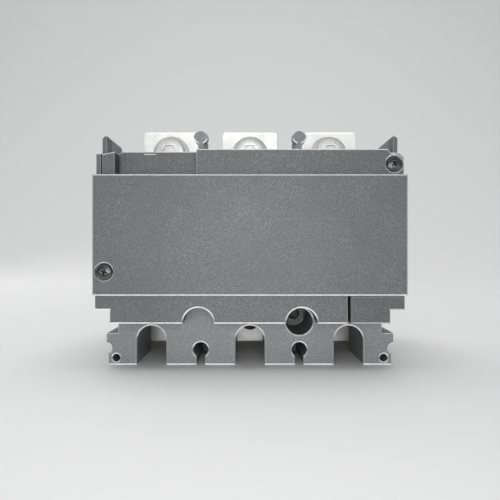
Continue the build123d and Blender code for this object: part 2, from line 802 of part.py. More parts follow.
def make_bolt(x: float) -> BuildPart:
    """Return a low-head socket screw that holds a device terminal on the upper end of a bar."""
    with BuildPart() as bolt:
        with BuildSketch(facing_front(head_back, x, upper_bolt_height)):
            Circle(bolt_head_radius)
        extrude(amount=bolt_head_height)
        fillet(bolt.faces().sort_by(Axis.Y)[0].edges(), radius=soft_edge)
        with BuildSketch(facing_front(head_back - bolt_head_height, x, upper_bolt_height)):
            RegularPolygon(bolt_socket_flats / 2, 6, major_radius=False)
        extrude(amount=-bolt_socket_depth, mode=Mode.SUBTRACT)
        with BuildSketch(facing_front(head_back + bolt_length, x, upper_bolt_height)):
            Circle(bolt_radius)
        extrude(amount=bolt_length)
        chamfer(bolt.faces().sort_by(Axis.Y)[-1].edges(), length=soft_edge)
    return bolt


def make_flat_washer(x: float) -> BuildPart:
    """Return a flat washer with a softened rim."""
    with BuildPart() as washer:
        with BuildSketch(facing_front(bar_front - seat_gap, x, upper_bolt_height)):
            Circle(flat_washer_radius)
            Circle(bolt_hole_radius, mode=Mode.SUBTRACT)
        extrude(amount=flat_washer_thickness)
        rim = washer.faces().sort_by(Axis.Y)[0].edges().sort_by(SortBy.RADIUS)[-1]
        chamfer(rim, length=fine_edge)
    return washer


def make_spring_washer(x: float) -> BuildPart:
    """Return a split spring washer."""
    with BuildPart() as washer:
        with BuildSketch(facing_front(washer_front, x, upper_bolt_height)):
            Circle(spring_washer_radius)
            Circle(bolt_hole_radius, mode=Mode.SUBTRACT)
            with Locations((0, -spring_washer_radius)):
                Rectangle(spring_slit, 2 * (spring_washer_radius - bolt_hole_radius + over), mode=Mode.SUBTRACT)
        extrude(amount=spring_washer_thickness)
    return washer


def make_nut(x: float, z: float, bore: float) -> BuildPart:
    """Return a hexagon nut behind a bar, at height z."""
    with BuildPart() as nut:
        with BuildSketch(facing_front(nut_back, x, z)):
            RegularPolygon(nut_flats / 2, 6, major_radius=False)
            Circle(bore, mode=Mode.SUBTRACT)
        extrude(amount=nut_height)
    return nut


carrier_height = terminal_height - 2 * over
carrier_depth = nut_back + wall + over - bar_back


def make_nut_carrier(x: float) -> BuildPart:
    """Return the moulded block that holds a nut behind the lower end of a bar."""
    middle = over + carrier_height / 2 - lower_bolt_height
    with BuildPart() as carrier:
        with BuildSketch(facing_front(bar_back + carrier_depth, x, lower_bolt_height)):
            with Locations((0, middle)):
                Rectangle(bar_width, carrier_height)
            Circle(bolt_hole_radius + fine_edge, mode=Mode.SUBTRACT)
        extrude(amount=carrier_depth)
        with BuildSketch(facing_front(nut_back + fine_edge, x, lower_bolt_height)):
            RegularPolygon(nut_flats / 2 + fine_edge / 2, 6, major_radius=False)
        extrude(amount=nut_height + fine_edge, mode=Mode.SUBTRACT)
    return carrier


for pole, pole_name in enumerate(pole_names):
    x = pole_x[pole]
    save(make_busbar(x), f"busbar_{pole_name}")
    save(make_sleeve(x), f"bar_sleeve_{pole_name}")
    save(make_core(x), f"ct_core_{pole_name}")
    save(make_bobbin(x), f"ct_bobbin_{pole_name}")
    save(make_winding(x), f"ct_winding_{pole_name}")
    save(make_leads(pole), f"secondary_leads_{pole_name}")
    save(make_bolt(x), f"terminal_bolt_{pole_name}")
    save(make_flat_washer(x), f"flat_washer_{pole_name}")
    save(make_spring_washer(x), f"spring_washer_{pole_name}")
    save(make_nut(x, upper_bolt_height, bolt_radius + thread_clearance), f"tab_nut_{pole_name}")
    save(make_nut(x, lower_bolt_height, bolt_hole_radius), f"lower_nut_{pole_name}")
    save(make_nut_carrier(x), f"nut_carrier_{pole_name}")

# ---- secondary terminals in the bay behind the cover ---------------------------------------------------------------
way_x = [x for pole in range(len(pole_names)) for x in way_places(pole)]
screw_row = block_middle + screw_row_rise
entry_row = block_middle - entry_row_drop
clamp_outer = entry_size - 2 * clamp_gap

with BuildPart() as terminal_block:
    with BuildSketch(facing_front(block_back, 0, block_middle)):
        Rectangle(block_width, block_height)
    extrude(amount=block_back - block_front)
    with BuildSketch(facing_front(block_front + well_depth)):
        with Locations([(x, screw_row) for x in way_x]):
            Circle(well_radius)
    extrude(amount=well_depth, mode=Mode.SUBTRACT)
    with BuildSketch(facing_front(block_front + well_depth + way_shank_length)):
        with Locations([(x, screw_row) for x in way_x]):
            Circle(way_shank_radius + fine_edge / 2)
    extrude(amount=way_shank_length, mode=Mode.SUBTRACT)
    with BuildSketch(facing_front(block_front + entry_depth)):
        with Locations([(x, entry_row) for x in way_x]):
            Rectangle(entry_size, entry_size)
    extrude(amount=entry_depth, mode=Mode.SUBTRACT)
    # shallow grooves between neighbouring ways
    with BuildSketch(facing_front(block_front + over)):
        for left, right in zip(way_x, way_x[1:]):
            with Locations(((left + right) / 2, block_middle)):
                Rectangle(over, block_height)
    extrude(amount=over, mode=Mode.SUBTRACT)
save(terminal_block, "terminal_block")

with BuildPart() as terminal_screws:
    seat = block_front + well_depth
    with BuildSketch(facing_front(seat)):
        with Locations([(x, screw_row) for x in way_x]):
            Circle(way_screw_radius)
    extrude(amount=way_screw_head)
    with BuildSketch(facing_front(seat + way_shank_length - body_gap)):
        with Locations([(x, screw_row) for x in way_x]):
            Circle(way_shank_radius)
    extrude(amount=way_shank_length - body_gap)
    with BuildSketch(facing_front(seat - way_screw_head)):
        with Locations([(x, screw_row) for x in way_x]):
            Rectangle(2 * way_screw_radius, recess_width)
    extrude(amount=-recess_depth, mode=Mode.SUBTRACT)
save(terminal_screws, "terminal_screws")

with BuildPart() as terminal_clamps:
    with BuildSketch(facing_front(block_front + entry_depth - clamp_gap)):
        with Locations([(x, entry_row) for x in way_x]):
            Rectangle(clamp_outer, clamp_outer)
            Rectangle(clamp_outer - 2 * clamp_wall, clamp_outer - 2 * clamp_wall, mode=Mode.SUBTRACT)
    extrude(amount=clamp_length)
save(terminal_clamps, "terminal_clamps")
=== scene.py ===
"""Looks of a three-pole current-transformer module that bolts to a moulded-case circuit breaker.

Every length is in metres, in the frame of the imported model: +X right, +Y to the mounting plate, +Z up.
"""

from __future__ import annotations

import json
import logging
import math

from dataclasses import dataclass, replace
from enum import Enum

import bmesh
import bpy
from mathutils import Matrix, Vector


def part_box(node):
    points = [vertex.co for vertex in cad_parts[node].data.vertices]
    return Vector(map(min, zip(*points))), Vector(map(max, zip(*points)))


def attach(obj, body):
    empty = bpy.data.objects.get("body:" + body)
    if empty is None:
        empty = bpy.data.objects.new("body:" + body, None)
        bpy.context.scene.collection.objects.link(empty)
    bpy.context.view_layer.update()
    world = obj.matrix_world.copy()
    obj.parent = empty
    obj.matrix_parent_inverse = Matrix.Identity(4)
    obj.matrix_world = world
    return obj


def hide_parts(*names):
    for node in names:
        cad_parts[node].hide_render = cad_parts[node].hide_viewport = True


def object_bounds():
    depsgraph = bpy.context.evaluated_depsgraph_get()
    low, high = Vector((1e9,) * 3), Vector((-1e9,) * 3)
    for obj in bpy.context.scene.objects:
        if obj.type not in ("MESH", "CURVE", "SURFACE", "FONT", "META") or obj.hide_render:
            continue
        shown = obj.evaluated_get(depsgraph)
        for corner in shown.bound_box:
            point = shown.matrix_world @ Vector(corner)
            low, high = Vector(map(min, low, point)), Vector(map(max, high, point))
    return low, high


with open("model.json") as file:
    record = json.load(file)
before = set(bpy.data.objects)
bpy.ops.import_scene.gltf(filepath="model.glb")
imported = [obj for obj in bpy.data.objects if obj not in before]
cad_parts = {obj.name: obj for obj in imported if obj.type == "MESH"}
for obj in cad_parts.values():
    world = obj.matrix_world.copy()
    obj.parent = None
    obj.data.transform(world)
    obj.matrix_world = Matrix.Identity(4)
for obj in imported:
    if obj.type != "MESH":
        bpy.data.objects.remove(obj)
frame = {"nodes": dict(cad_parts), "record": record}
CAD_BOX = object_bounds()
LOG = logging.getLogger("module")

MM = 0.001
WELD = 1e-7
POLES = ("left", "centre", "right")
DUST_COLOUR = (0.42, 0.41, 0.39)
# colour of the painted shade that darkens the recesses of metal parts
PAINTED_SHADE_COLOUR = (0.004, 0.004, 0.004)

Colour = tuple[float, float, float]
Profile = list[tuple[float, float]]
Socket = bpy.types.NodeSocket
Surface = tuple[Socket, Socket, Socket]


# ---- small helpers for modelling ---------------------------------------------------------------
def select_only(piece: bpy.types.Object) -> None:
    """Make one object the only selected and the active one.

    Args:
        piece: the object to work on.
    """
    bpy.ops.object.select_all(action="DESELECT")
    piece.select_set(True)
    bpy.context.view_layer.objects.active = piece


def select_no_part() -> None:
    """Deselect every face, edge and point of the active object."""
    bpy.ops.object.mode_set(mode="EDIT")
    bpy.ops.mesh.select_all(action="DESELECT")
    bpy.ops.object.mode_set(mode="OBJECT")


def apply_modifier(piece: bpy.types.Object, kind: str, **settings: object) -> None:
    """Add a modifier with these settings and apply it.

    Args:
        piece: the object that gets it.
        kind: Blender's name of the modifier type.
        **settings: its properties.
    """
    select_only(piece)
    modifier = piece.modifiers.new(kind.lower(), kind)
    for key, value in settings.items():
        setattr(modifier, key, value)
    bpy.ops.object.modifier_apply(modifier=modifier.name)


def smooth(piece: bpy.types.Object, degrees: float) -> None:
    """Shade a piece smooth, with sharp edges above an angle.

    Args:
        piece: the object to shade.
        degrees: edges sharper than this stay sharp.
    """
    select_only(piece)
    bpy.ops.object.shade_smooth_by_angle(angle=math.radians(degrees))


def clean_up(piece: bpy.types.Object) -> None:
    """Merge doubled points and turn every face outwards.

    Args:
        piece: the object to clean.
    """
    select_only(piece)
    bpy.ops.object.mode_set(mode="EDIT")
    bpy.ops.mesh.select_all(action="SELECT")
    bpy.ops.mesh.remove_doubles(threshold=WELD)
    bpy.ops.mesh.normals_make_consistent(inside=False)
    bpy.ops.object.mode_set(mode="OBJECT")


def settle(piece: bpy.types.Object) -> None:
    """Move an object's place, turn and size into its mesh.

    Args:
        piece: the object to settle.
    """
    select_only(piece)
    bpy.ops.object.transform_apply(location=True, rotation=True, scale=True)


def join(pieces: list[bpy.types.Object], name: str) -> bpy.types.Object:
    """Join several objects into one.

    Args:
        pieces: the objects, at least one.
        name: the joined object's name.

    Returns:
        The joined object.
    """
    bpy.ops.object.select_all(action="DESELECT")
    for piece in pieces:
        piece.select_set(True)
    bpy.context.view_layer.objects.active = pieces[0]
    if len(pieces) > 1:
        bpy.ops.object.join()
    pieces[0].name = name
    pieces[0].data.name = name
    return pieces[0]


def lathe(
    name: str,
    profile: Profile,
    centre: Vector,
    facing: int = 1,
    steps: int = 48,
) -> bpy.types.Object:
    """Spin a profile about an axis that runs front to back.

    Args:
        name: the new piece's name.
        profile: radius and place along the axis of each corner, first and last on the axis or both off it.
        centre: where radius and place are both zero.
        facing: 1 where places count towards the back, -1 where they count towards the front.
        steps: faces around the axis.

    Returns:
        The spun piece, with outward faces.
    """
    closed = profile[0][0] > 0
    mesh = bpy.data.meshes.new(name)
    points = [centre + Vector((radius, facing * along, 0.0)) for radius, along in profile]
    edges = [(i, i + 1) for i in range(len(points) - 1)] + ([(len(points) - 1, 0)] if closed else [])
    mesh.from_pydata(points, edges, [])
    piece = bpy.data.objects.new(name, mesh)
    bpy.context.scene.collection.objects.link(piece)
    select_only(piece)
    bpy.ops.object.mode_set(mode="EDIT")
    bpy.ops.mesh.select_all(action="SELECT")
    bpy.ops.mesh.spin(steps=steps, angle=2 * math.pi, center=centre, axis=(0, 1, 0))
    bpy.ops.object.mode_set(mode="OBJECT")
    clean_up(piece)
    return piece


def prism(name: str, corners: int, radius: float, start: Vector, length: float) -> bpy.types.Object:
    """Add a straight prism whose axis runs towards the back, with a corner pointing right.

    Args:
        name: the new piece's name.
        corners: number of its sides.
        radius: distance from the axis to a corner.
        start: middle of its front end.
        length: its length along +Y.

    Returns:
        The prism, with its place in its mesh.
    """
    bpy.ops.object.select_all(action="DESELECT")
    bpy.ops.mesh.primitive_cylinder_add(
        vertices=corners,
        radius=radius,
        depth=length,
        location=start + Vector((0, length / 2, 0)),
        rotation=(math.pi / 2, math.pi / 2, 0),
    )
    piece = bpy.context.active_object
    piece.name = name
    settle(piece)
    return piece


def wedge(
    name: str,
    mouth: Vector,
    facing: int,
    size: tuple[float, float, float],
    taper: float,
    turn: float,
) -> bpy.types.Object:
    """Add one wing of a cross recess: a box that narrows as it goes in.

    Args:
        name: the new piece's name.
        mouth: middle of its open end.
        facing: 1 where it goes in towards the back, -1 where it goes in towards the front.
        size: width, depth and length at the mouth.
        taper: size of its inner end, as a share of the mouth.
        turn: its turn about the axis, in radians.

    Returns:
        The wedge, with its place in its mesh.
    """
    width, depth, length = size
    bpy.ops.object.select_all(action="DESELECT")
    bpy.ops.mesh.primitive_cube_add(
        size=1.0,
        location=mouth,
        rotation=(0, turn, 0),
        scale=(width, 2 * depth, length),
    )
    piece = bpy.context.active_object
    piece.name = name
    select_no_part()
    for face in piece.data.polygons:
        face.select = face.normal.y * facing > 0.5
    bpy.ops.object.mode_set(mode="EDIT")
    bpy.ops.transform.resize(value=(taper, 1.0, taper))
    bpy.ops.object.mode_set(mode="OBJECT")
    settle(piece)
    return piece


def cut(piece: bpy.types.Object, tool: bpy.types.Object, operation: str = "DIFFERENCE") -> None:
    """Cut a piece with a tool, which is then removed.

    Args:
        piece: the object that is cut.
        tool: the cutting object.
        operation: DIFFERENCE or INTERSECT.
    """
    apply_modifier(piece, "BOOLEAN", operation=operation, object=tool, solver="EXACT")
    bpy.data.objects.remove(tool)


def thread(radius: float, start: float, end: float, pitch: float, depth: float) -> Profile:
    """Return the zigzag profile of a thread.

    Args:
        radius: its crest radius.
        start: where it begins along the axis.
        end: where it ends.
        pitch: distance from crest to crest.
        depth: from crest to root.

    Returns:
        Radius and place of each corner, from start to end.
    """
    turns = max(1, int((end - start) / pitch))
    points = []
    for turn in range(turns):
        crest = start + turn * (end - start) / turns
        points += [(radius, crest), (radius - depth, crest + (end - start) / turns / 2)]
    return points + [(radius, end)]


def middle_of(node: str) -> Vector:
    """Return the middle of a CAD node's box."""
    low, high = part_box(node)
    return (Vector(low) + Vector(high)) / 2


def round_size(node: str) -> tuple[Vector, float, float]:
    """Measure a CAD node that is round about an axis from front to back.

    Args:
        node: the CAD node's name.

    Returns:
        The middle of its front end, its radius and its length.
    """
    low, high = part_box(node)
    axis = middle_of(node)
    return Vector((axis.x, low.y, axis.z)), (high.x - low.x) / 2, high.y - low.y


def solids_of(node: str) -> list[tuple[Vector, Vector]]:
    """Return the box of each separate solid of a CAD node, from left to right.

    Args:
        node: the CAD node's name.

    Returns:
        Lowest and highest corner of each solid.
    """
    work = bmesh.new()
    work.from_mesh(frame["nodes"][node].data)
    bmesh.ops.remove_doubles(work, verts=work.verts, dist=WELD)
    left = set(work.verts)
    boxes = []
    while left:
        front, island = [left.pop()], []
        while front:
            vertex = front.pop()
            island.append(vertex.co.copy())
            for edge in vertex.link_edges:
                other = edge.other_vert(vertex)
                if other in left:
                    left.remove(other)
                    front.append(other)
        low = Vector([min(point[axis] for point in island) for axis in range(3)])
        high = Vector([max(point[axis] for point in island) for axis in range(3)])
        boxes.append((low, high))
    work.free()
    return sorted(boxes, key=lambda box: (round(box[0].x, 5), box[0].z))


def paint(colour: Colour, factor: float = 1.0, lift: float = 0.0) -> tuple[float, float, float, float]:
    """Return a colour as a socket takes it, scaled and lifted.

    Args:
        colour: red, green and blue, linear.
        factor: what each is multiplied by.
        lift: what is then added to each.

    Returns:
        Red, green, blue and full alpha.
    """
    return tuple(min(1.0, part * factor + lift) for part in colour) + (1.0,)


# ---- shader node groups ------------------------------------------------------------------------
class Bench:
    """A node tree with short calls for adding and linking nodes.

    Attributes:
        tree: the tree that nodes are added to.
    """

    def __init__(self, tree: bpy.types.NodeTree) -> None:
        """Keep the tree."""
        self.tree = tree

    def add(self, kind: str, inputs: dict | None = None, **settings: object) -> bpy.types.Node:
        """Add a node.

        Args:
            kind: the node type after "ShaderNode".
            inputs: values or output sockets for its inputs, by name or number.
            **settings: properties of the node itself.

        Returns:
            The new node.
        """
        node = self.tree.nodes.new(f"ShaderNode{kind}")
        for key, value in settings.items():
            setattr(node, key, value)
        for key, value in (inputs or {}).items():
            if isinstance(value, Socket):
                self.tree.links.new(value, node.inputs[key])
            else:
                node.inputs[key].default_value = value
        return node

    def effect(self, name: str, values: dict[str, float] | None = None) -> bpy.types.Node:
        """Place a shared effect.

        Args:
            name: the effect's name.
            values: numbers for its inputs, where they differ from its first ones.

        Returns:
            The new node.
        """
        return self.add("Group", values, node_tree=Effect.made[name])

    def surface_place(self) -> Socket:
        """Return the place on the object's surface, in its own coordinates."""
        return self.add("TexCoord").outputs["Object"]

    def noise(
        self,
        where: Socket,
        scale: float | Socket,
        detail: float = 2.0,
        roughness: float = 0.5,
    ) -> Socket:
        """Return a noise pattern.

        Args:
            where: the place at which it is read.
            scale: its fineness, per metre.
            detail: number of its finer layers.
            roughness: strength of the finer layers.

        Returns:
            Its output socket.
        """
        inputs = {"Vector": where, "Scale": scale, "Detail": detail, "Roughness": roughness}
        return self.add("TexNoise", inputs).outputs["Fac"]

    def math(
        self,
        operation: str,
        first: float | Socket,
        second: float | Socket = 0.0,
        clamp: bool = False,
    ) -> Socket:
        """Return the result of a Math node.

        Args:
            operation: Blender's name of the operation.
            first: a number or a socket.
            second: a number or a socket.
            clamp: whether the result stays between 0 and 1.

        Returns:
            Its output socket.
        """
        node = self.add("Math", {0: first, 1: second}, operation=operation, use_clamp=clamp)
        return node.outputs[0]

    def times(self, first: float | Socket, second: float | Socket) -> Socket:
        """Return the product of two values."""
        return self.math("MULTIPLY", first, second)

    def ramp(
        self,
        value: Socket,
        low: float,
        high: float,
        to_low: float = 0.0,
        to_high: float = 1.0,
    ) -> Socket:
        """Return a value mapped from one range to another, and clamped.

        Args:
            value: the value to map.
            low: first end of its range.
            high: last end of its range.
            to_low: result at the first end.
            to_high: result at the last end.

        Returns:
            The output socket.
        """
        inputs = {"Value": value, 1: low, 2: high, 3: to_low, 4: to_high}
        return self.add("MapRange", inputs, clamp=True).outputs[0]

    def mix(self, factor: Socket, first: object, second: object) -> Socket:
        """Return a mix of two colours.

        Args:
            factor: share of the second colour.
            first: a colour or a socket.
            second: a colour or a socket.

        Returns:
            The output socket.
        """
        return self.add("Mix", {0: factor, 6: first, 7: second}, data_type="RGBA").outputs[2]


class Effect:
    """A shader node group with named inputs and outputs, built once and placed in many materials.

    Attributes:
        made: every group that is built, by name.
        bench: the group's own tree.
    """

    made: dict[str, bpy.types.NodeTree] = {}

    def __init__(self, name: str, inputs: dict[str, float], outputs: tuple[str, ...]) -> None:
        """Make the group's tree and its sockets.

        Args:
            name: the group's name.
            inputs: each number that it takes, with its first value.
            outputs: each number that it gives.
        """
        tree = bpy.data.node_groups.new(name, "ShaderNodeTree")
        for key, value in inputs.items():
            socket = tree.interface.new_socket(key, in_out="INPUT", socket_type="NodeSocketFloat")
            socket.default_value = value
        for key in outputs:
            tree.interface.new_socket(key, in_out="OUTPUT", socket_type="NodeSocketFloat")
        self.bench = Bench(tree)
        self._entry = tree.nodes.new("NodeGroupInput")
        self._exit = tree.nodes.new("NodeGroupOutput")
        Effect.made[name] = tree

    def take(self, name: str) -> Socket:
        """Return one of the group's inputs."""
        return self._entry.outputs[name]

    def give(self, name: str, socket: Socket) -> None:
        """Connect one of the group's outputs."""
        self.bench.tree.links.new(socket, self._exit.inputs[name])


def build_spark_grain() -> None:
    """Build the fine texture of a spark-eroded mould: soft specks, sparse glints that are painted as bright
    flecks, and their height.
    """
    effect = Effect("spark_grain", {"Fineness": 2600.0}, ("Speck", "Glint", "Height", "Drift"))
    bench = effect.bench
    where = bench.surface_place()
    fineness = effect.take("Fineness")
    fine = bench.noise(where, fineness, detail=3.0, roughness=0.7)
    broad = bench.noise(where, 45.0, detail=4.0, roughness=0.6)
    patches = bench.noise(where, 130.0, detail=3.0)
    cells = bench.add("TexVoronoi", {"Vector": where, "Scale": fineness}, feature="SMOOTH_F1")
    spots = bench.ramp(cells.outputs["Distance"], 0.15, 0.65)
    dots = bench.add("TexVoronoi", {"Vector": where, "Scale": bench.times(fineness, 0.8)})
    shade = bench.add("SeparateColor", {0: dots.outputs["Color"]}).outputs[0]
    small = bench.ramp(dots.outputs["Distance"], 0.2, 0.42, 1.0, 0.0)
    chosen = bench.times(small, bench.ramp(shade, 0.6, 0.68))
    effect.give("Speck", bench.ramp(fine, 0.41, 0.62))
    effect.give("Glint", bench.times(chosen, bench.ramp(patches, 0.4, 0.6, 0.25, 1.0)))
    effect.give("Height", bench.math("ADD", bench.times(spots, 0.6), fine))
    effect.give("Drift", bench.ramp(broad, 0.3, 0.7))


def build_painted_edge_highlight() -> None:
    """Build a mask of painted edge highlights: whitest along lower edges, as if lit from below, fainter
    along upper and upright ones, broken up in patches.
    """
    inputs = {"Reach": 0.0006, "Break": 900.0, "Below": 1.0, "Above": 0.55, "Upright": 0.18}
    effect = Effect("painted_edge_highlight", inputs, ("Mask",))
    bench = effect.bench
    rounded = bench.add("Bevel", {"Radius": effect.take("Reach")}, samples=8).outputs["Normal"]
    true = bench.add("NewGeometry").outputs["Normal"]
    likeness = bench.add("VectorMath", {0: rounded, 1: true}, operation="DOT_PRODUCT")
    bent = bench.ramp(bench.math("SUBTRACT", 1.0, likeness.outputs["Value"]), 0.015, 0.12)
    ahead = bench.math("ABSOLUTE", bench.add("SeparateXYZ", {0: true}).outputs["Y"])
    slanted = bench.times(bench.ramp(ahead, 0.3, 0.5), bench.ramp(ahead, 0.86, 0.97, 1.0, 0.0))
    edge = bench.math("MAXIMUM", bent, slanted)
    lift = bench.add("SeparateXYZ", {0: rounded}).outputs["Z"]
    below = bench.times(bench.ramp(lift, -0.3, -0.08, 1.0, 0.0), effect.take("Below"))
    above = bench.times(bench.ramp(lift, 0.08, 0.3), effect.take("Above"))
    share = bench.math("MAXIMUM", bench.math("MAXIMUM", below, above), effect.take("Upright"))
    patches = bench.noise(bench.surface_place(), effect.take("Break"), detail=3.0)
    broken = bench.ramp(patches, 0.3, 0.6, 0.75, 1.0)
    effect.give("Mask", bench.times(bench.times(edge, share), broken))


def build_painted_recess_shade() -> None:
    """Build a mask of painted shade in recesses, sockets and thread roots, darkest where a point is most
    hidden.
    """
    effect = Effect("painted_recess_shade", {"Reach": 0.0015, "Amount": 0.4}, ("Mask",))
    bench = effect.bench
    reach = {"Distance": effect.take("Reach")}
    open_air = bench.add("AmbientOcclusion", reach, samples=8, only_local=True).outputs["AO"]
    hidden = bench.ramp(open_air, 0.35, 0.85, 1.0, 0.0)
    effect.give("Mask", bench.times(hidden, effect.take("Amount")))


def build_settled_dust() -> None:
    """Build a mask of thin dust that lies on faces that look up, in soft clouds."""
    effect = Effect("settled_dust", {"Amount": 0.3}, ("Mask",))
    bench = effect.bench
    normal = bench.add("NewGeometry").outputs["Normal"]
    upward = bench.ramp(bench.add("SeparateXYZ", {0: normal}).outputs["Z"], 0.3, 1.0)
    where = bench.surface_place()
    clouds = bench.ramp(bench.noise(where, 60.0, detail=6.0, roughness=0.65), 0.4, 0.75)
    flecks = bench.times(bench.ramp(bench.noise(where, 1500.0), 0.66, 0.72), 0.35)
    total = bench.math("ADD", bench.times(upward, clouds), flecks, clamp=True)
    effect.give("Mask", bench.times(total, effect.take("Amount")))


def build_plating_cloud() -> None:
    """Build the mottled look of dull plating: clouds, fine scratches and small pits."""
    inputs = {"Cloud Scale": 160.0, "Scratch Scale": 500.0}
    effect = Effect("plating_cloud", inputs, ("Cloud", "Scratch", "Height"))
    bench = effect.bench
    where = bench.surface_place()
    cloud = bench.noise(where, effect.take("Cloud Scale"), detail=5.0)
    stretch = {"Vector": where, "Scale": (9.0, 9.0, 0.6), "Rotation": (0.1, 0.25, 0.15)}
    drawn = bench.add("Mapping", stretch).outputs[0]
    lines = bench.noise(drawn, effect.take("Scratch Scale"))
    pits = bench.add("TexVoronoi", {"Vector": where, "Scale": 1900.0}).outputs["Distance"]
    height = bench.math("ADD", cloud, bench.times(pits, 0.3))
    effect.give("Cloud", bench.ramp(cloud, 0.35, 0.68))
    effect.give("Scratch", bench.ramp(lines, 0.58, 0.75))
    effect.give("Height", bench.math("SUBTRACT", height, bench.times(lines, 0.25)))


def build_wound_turns() -> None:
    """Build close parallel turns of wire or strip, as height and a line mask."""
    effect = Effect("wound_turns", {"Turns": 300.0}, ("Line", "Height"))
    bench = effect.bench
    across = bench.add("SeparateXYZ", {0: bench.surface_place()}).outputs["X"]
    phase = bench.times(across, effect.take("Turns"))
    wave = bench.math("ABSOLUTE", bench.math("SINE", bench.times(phase, 2 * math.pi)))
    effect.give("Line", bench.ramp(wave, 0.0, 0.5, 1.0, 0.0))
    effect.give("Height", wave)


# ---- finishes ----------------------------------------------------------------------------------
class Kind(Enum):
    """How a finish is made up."""

    MOULDED = "moulded"
    METAL = "metal"
    WOUND = "wound"


@dataclass(frozen=True)
class Finish:
    """One surface finish.

    Attributes:
        slot: the record's material slot that it belongs to.
        kind: how it is made up.
        colour: its main colour, linear.
        second: colour of its specks, clouds or lines, linear.
        roughness: its middle roughness.
        node: the one CAD node of the slot that has it, or nothing where it is the slot's usual finish.
        grain: fineness of its smallest detail, per metre.
        depth: height of that detail.
        edge: how much lighter its painted edge highlight is.
        dust: how much dust lies on it.
        metallic: 1 for bare metal.
        turns: turns per metre of a wound finish, counted along X.
        coat: weight of a clear layer over it.
        coat_roughness: roughness of the clear layer.
        painted_glint: how bright the sparse glints painted into a moulded finish's colour are.
        recess_shade: how dark the painted shade in the recesses of a metal is.
    """

    slot: str
    kind: Kind
    colour: Colour
    second: Colour
    roughness: float
    node: str = ""
    grain: float = 2600.0
    depth: float = 0.00003
    edge: float = 0.3
    dust: float = 0.2
    metallic: float = 0.0
    turns: float = 0.0
    coat: float = 0.0
    coat_roughness: float = 0.25
    painted_glint: float = 0.6
    recess_shade: float = 0.3

    def build(self) -> bpy.types.Material:
        """Make the material.

        Returns:
            The finished material, named after its node or its slot.
        """
        material = bpy.data.materials.new(f"{self.node or self.slot}_finish")
        material.use_nodes = True
        tree = material.node_tree
        tree.nodes.clear()
        bench = Bench(tree)
        output = bench.add("OutputMaterial")
        shader = bench.add("BsdfPrincipled", {
            "Metallic": self.metallic,
            "Coat Weight": self.coat,
            "Coat Roughness": self.coat_roughness,
        })
        tree.links.new(shader.outputs[0], output.inputs[0])
        make_up = {Kind.MOULDED: self._moulded, Kind.METAL: self._metal, Kind.WOUND: self._wound}
        colour, roughness, height = make_up[self.kind](bench)
        # painted highlight: the colour is lifted along the edges, most along lower edges
        edge = bench.effect("painted_edge_highlight").outputs["Mask"]
        colour = bench.mix(edge, colour, paint(self.colour, lift=self.edge))
        dust = bench.effect("settled_dust", {"Amount": self.dust}).outputs["Mask"]
        colour = bench.mix(dust, colour, paint(DUST_COLOUR))
        roughness = bench.math("ADD", roughness, bench.times(dust, 0.3), clamp=True)
        bump = bench.add("Bump", {"Strength": 1.0, "Distance": self.depth, "Height": height})
        for name, socket in (("Base Color", colour), ("Roughness", roughness), ("Normal", bump.outputs[0])):
            tree.links.new(socket, shader.inputs[name])
        return material

    def _moulded(self, bench: Bench) -> Surface:
        """Mix the look of a moulded plastic.

        Args:
            bench: the material's tree.

        Returns:
            Colour, roughness and height.
        """
        grain = bench.effect("spark_grain", {"Fineness": self.grain})
        speck, painted_glint, height, drift = grain.outputs
        colour = bench.mix(bench.times(speck, 0.7), paint(self.colour), paint(self.second))
        # painted glints: sparse bright flecks mixed into the colour as highlights
        colour = bench.mix(bench.times(painted_glint, self.painted_glint), colour, paint(self.second, 1.9))
        colour = bench.mix(bench.times(drift, 0.35), colour, paint(self.colour, 0.86))
        roughness = bench.ramp(speck, 0.0, 1.0, self.roughness + 0.06, self.roughness - 0.1)
        return colour, roughness, height

    def _metal(self, bench: Bench) -> Surface:
        """Mix the look of a plated or blackened metal, with painted shade in its recesses.

        Args:
            bench: the material's tree.

        Returns:
            Colour, roughness and height.
        """
        plating = bench.effect("plating_cloud", {"Scratch Scale": self.grain / 5})
        cloud, scratch, height = plating.outputs
        # painted shade: darker colour in recesses, from how hidden each point is; it also raises roughness
        # there
        recess_shade = bench.effect("painted_recess_shade", {"Amount": self.recess_shade}).outputs["Mask"]
        colour = bench.mix(cloud, paint(self.colour), paint(self.second))
        colour = bench.mix(recess_shade, colour, paint(PAINTED_SHADE_COLOUR))
        clouded = bench.ramp(cloud, 0.0, 1.0, self.roughness - 0.07, self.roughness + 0.1)
        dulled = bench.math("ADD", clouded, bench.times(recess_shade, 0.4))
        roughness = bench.math("SUBTRACT", dulled, bench.times(scratch, 0.12), clamp=True)
        return colour, roughness, height

    def _wound(self, bench: Bench) -> Surface:
        """Mix the look of wound wire or strip.

        Args:
            bench: the material's tree.

        Returns:
            Colour, roughness and height.
        """
        line, height = bench.effect("wound_turns", {"Turns": self.turns}).outputs
        drift = bench.effect("spark_grain", {"Fineness": self.grain}).outputs["Drift"]
        colour = bench.mix(line, paint(self.colour), paint(self.second))
        roughness = bench.ramp(drift, 0.0, 1.0, self.roughness - 0.08, self.roughness + 0.1)
        return colour, roughness, height
